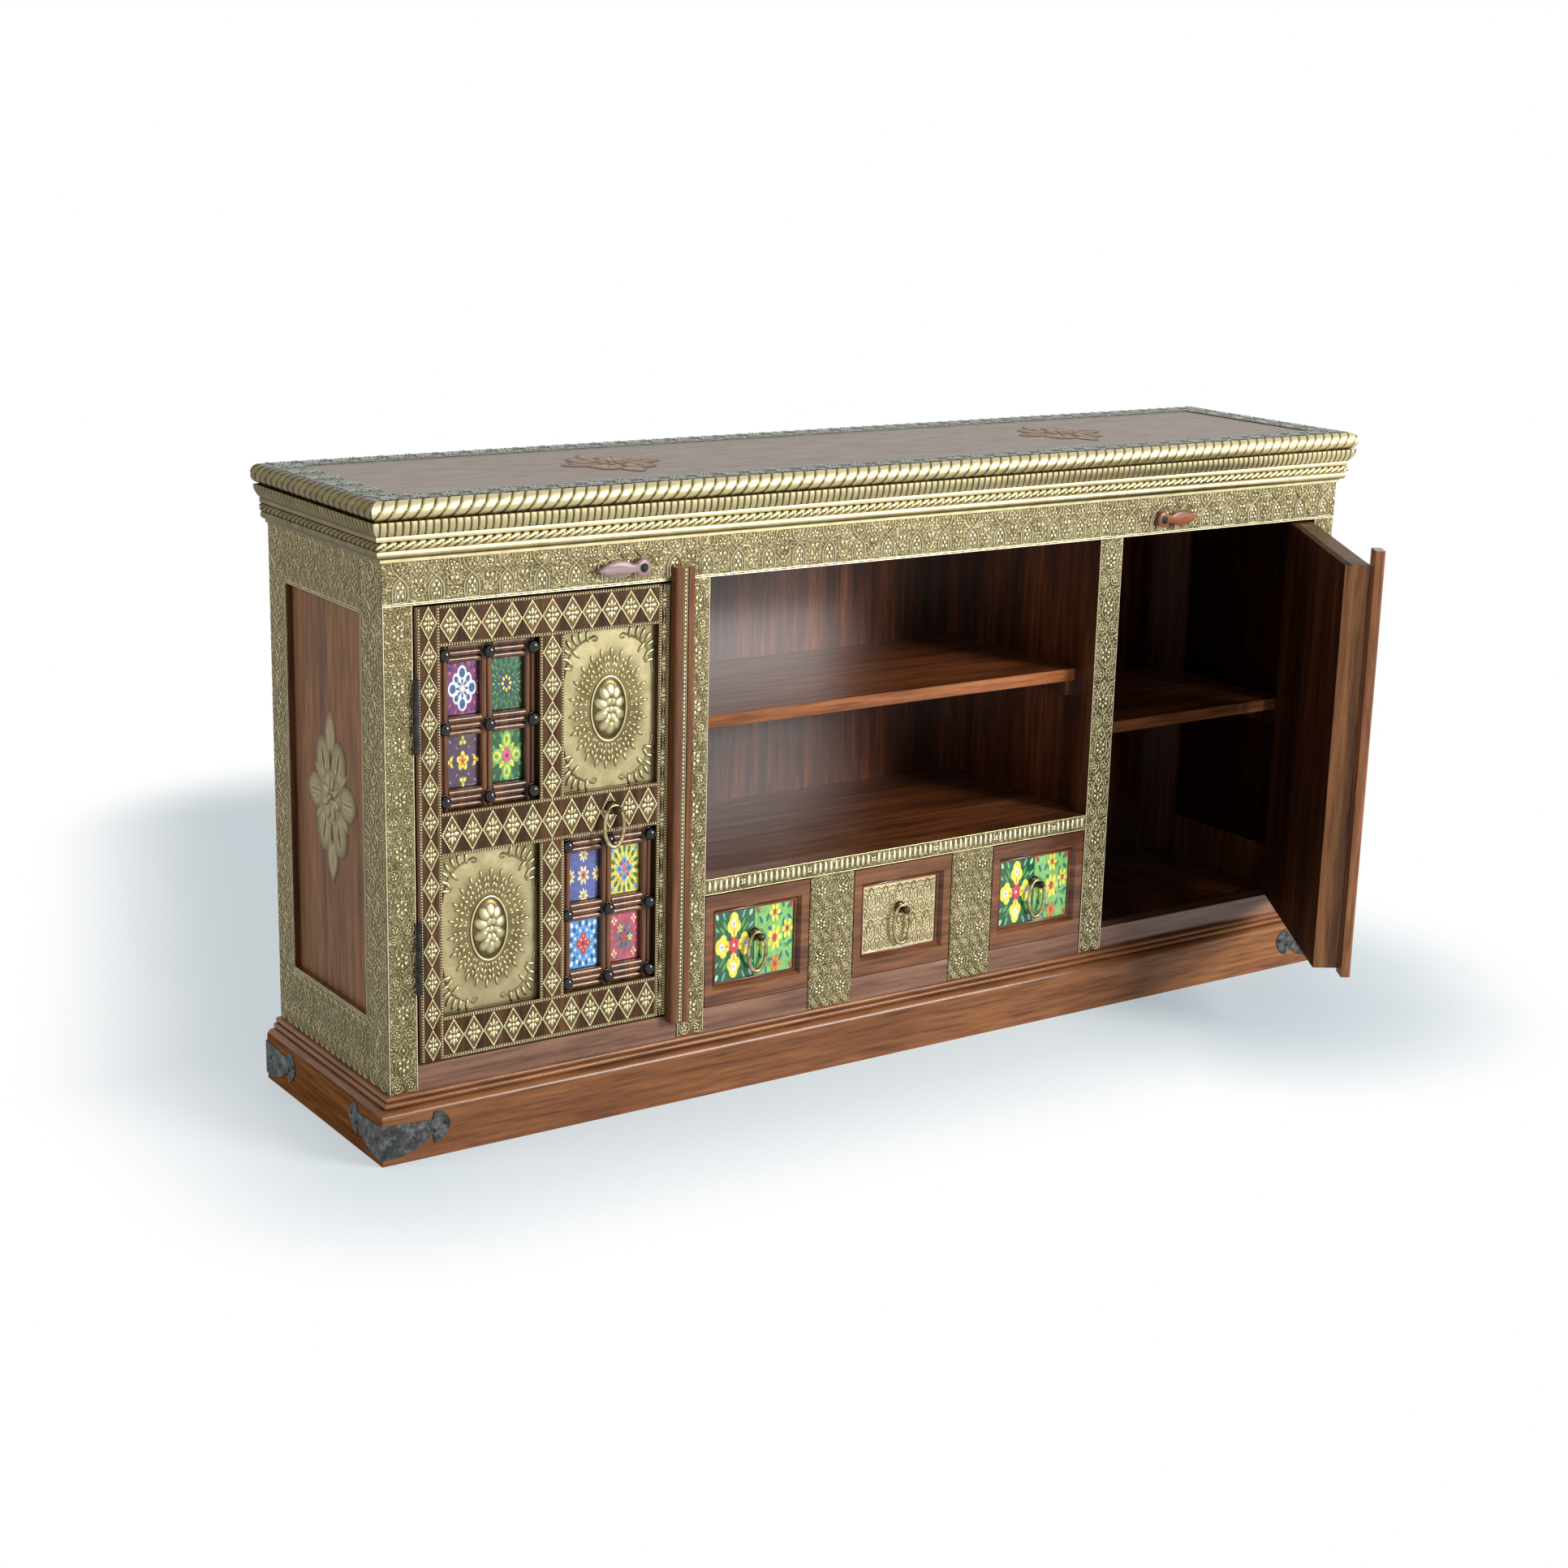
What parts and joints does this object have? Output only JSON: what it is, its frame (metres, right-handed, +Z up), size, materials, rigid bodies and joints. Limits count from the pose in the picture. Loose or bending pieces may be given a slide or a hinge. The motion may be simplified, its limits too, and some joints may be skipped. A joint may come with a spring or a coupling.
{
  "type": "tv cabinet",
  "caption": "Long low wooden cabinet clad in embossed brass, with tiled hinged doors at its ends, an open shelved bay over small drawers, ring pulls and turn buttons.",
  "frame": {"origin": "on the floor under the middle of the body, at the middle of the plinth's cross bearer", "axes": "+X along the front to the right, +Y from the front to the back, +Z up; the doors and drawers face -Y"},
  "size_m": [1.563, 0.6495, 0.8],
  "materials": {
    "walnut": "lacquered, satin",
    "dark_interior": "lacquered, dark",
    "embossed_brass": "embossed, aged",
    "moulded_brass": "polished crests",
    "aged_iron": "blackened",
    "pull_brass": "tarnished",
    "glazed_tile": "painted and glazed",
    "black_stud": "gloss black",
    "carved_button": "waxed"
  },
  "bodies": {
    "carcass": {"back_boards": "dark_interior", "bottom_board": "dark_interior", "brass_cladding": "embossed_brass", "brass_flowers": "embossed_brass", "crown_mouldings": "moulded_brass", "drawer_dividers": "walnut", "drawer_runners": "dark_interior", "frieze_rail": "walnut", "front_bottom_rail": "walnut", "front_stiles": "walnut", "hinge_frame_leaves": "aged_iron", "hinge_pins": "aged_iron", "middle_shelf": "walnut", "open_bay_floor": "walnut", "open_bay_rail": "walnut", "partitions": "dark_interior", "plinth_boards": "walnut", "plinth_corner_straps": "aged_iron", "shelf_cleats": "dark_interior", "side_bay_shelves": "dark_interior", "side_frames": "walnut", "side_panels": "walnut", "top_board": "walnut", "top_brass_border": "embossed_brass", "turn_button_screws": "aged_iron"},
    "left_door": {"left_door_frame": "walnut", "left_door_back_boards": "dark_interior", "left_door_lattice_bars": "walnut", "left_door_studs": "black_stud", "left_door_tiles": "glazed_tile", "left_door_brass_sheets": "embossed_brass", "left_door_astragal": "walnut", "left_door_hinge_leaves": "aged_iron", "left_door_ring_post": "pull_brass"},
    "left_door_ring": {"left_door_ring": "pull_brass"},
    "left_turn_button": {"left_turn_button": "carved_button"},
    "right_door": {"right_door_frame": "walnut", "right_door_back_boards": "dark_interior", "right_door_lattice_bars": "walnut", "right_door_studs": "black_stud", "right_door_tiles": "glazed_tile", "right_door_brass_sheets": "embossed_brass", "right_door_astragal": "walnut", "right_door_hinge_leaves": "aged_iron", "right_door_ring_post": "pull_brass"},
    "right_door_ring": {"right_door_ring": "pull_brass"},
    "right_turn_button": {"right_turn_button": "carved_button"},
    "left_drawer": {"left_drawer_box": "walnut", "left_drawer_facing": "glazed_tile", "left_drawer_ring_post": "pull_brass"},
    "left_drawer_ring": {"left_drawer_ring": "pull_brass"},
    "middle_drawer": {"middle_drawer_box": "walnut", "middle_drawer_facing": "embossed_brass", "middle_drawer_ring_post": "pull_brass"},
    "middle_drawer_ring": {"middle_drawer_ring": "pull_brass"},
    "right_drawer": {"right_drawer_box": "walnut", "right_drawer_facing": "glazed_tile", "right_drawer_ring_post": "pull_brass"},
    "right_drawer_ring": {"right_drawer_ring": "pull_brass"}
  },
  "joints": [
    {"name": "left_door_swing", "type": "hinge", "parent": "carcass", "child": "left_door", "pos_m": [-0.7205, -0.165, 0.39], "axis": [0, 0, -1], "range_deg": [0, 115]},
    {"name": "right_door_swing", "type": "hinge", "parent": "carcass", "child": "right_door", "pos_m": [0.7205, -0.165, 0.39], "axis": [0, 0, 1], "range_deg": [-57, 58]},
    {"name": "left_door_ring_swing", "type": "hinge", "parent": "left_door", "child": "left_door_ring", "pos_m": [-0.45525, -0.169, 0.404], "axis": [-1, 0, 0], "range_deg": [-4, 95]},
    {"name": "right_door_ring_swing", "type": "hinge", "parent": "right_door", "child": "right_door_ring", "pos_m": [0.57939, -0.38964, 0.404], "axis": [-0.5446, -0.8387, 0], "range_deg": [-4, 95]},
    {"name": "left_drawer_slide", "type": "slide", "parent": "carcass", "child": "left_drawer", "axis": [0, -1, 0], "range_m": [0, 0.19]},
    {"name": "left_drawer_ring_swing", "type": "hinge", "parent": "left_drawer", "child": "left_drawer_ring", "pos_m": [-0.234, -0.161, 0.20175], "axis": [-1, 0, 0], "range_deg": [-4, 95]},
    {"name": "middle_drawer_slide", "type": "slide", "parent": "carcass", "child": "middle_drawer", "axis": [0, -1, 0], "range_m": [0, 0.19]},
    {"name": "middle_drawer_ring_swing", "type": "hinge", "parent": "middle_drawer", "child": "middle_drawer_ring", "pos_m": [0, -0.161, 0.20175], "axis": [-1, 0, 0], "range_deg": [-4, 95]},
    {"name": "right_drawer_slide", "type": "slide", "parent": "carcass", "child": "right_drawer", "axis": [0, -1, 0], "range_m": [0, 0.19]},
    {"name": "right_drawer_ring_swing", "type": "hinge", "parent": "right_drawer", "child": "right_drawer_ring", "pos_m": [0.234, -0.161, 0.20175], "axis": [-1, 0, 0], "range_deg": [-4, 95]},
    {"name": "left_turn_button_turn", "type": "hinge", "parent": "carcass", "child": "left_turn_button", "pos_m": [-0.419, -0.1695, 0.6975], "axis": [0, 1, 0], "range_deg": [-90, 15]},
    {"name": "right_turn_button_turn", "type": "hinge", "parent": "carcass", "child": "right_turn_button", "pos_m": [0.419, -0.1695, 0.6975], "axis": [0, -1, 0], "range_deg": [-90, 15]}
  ]
}
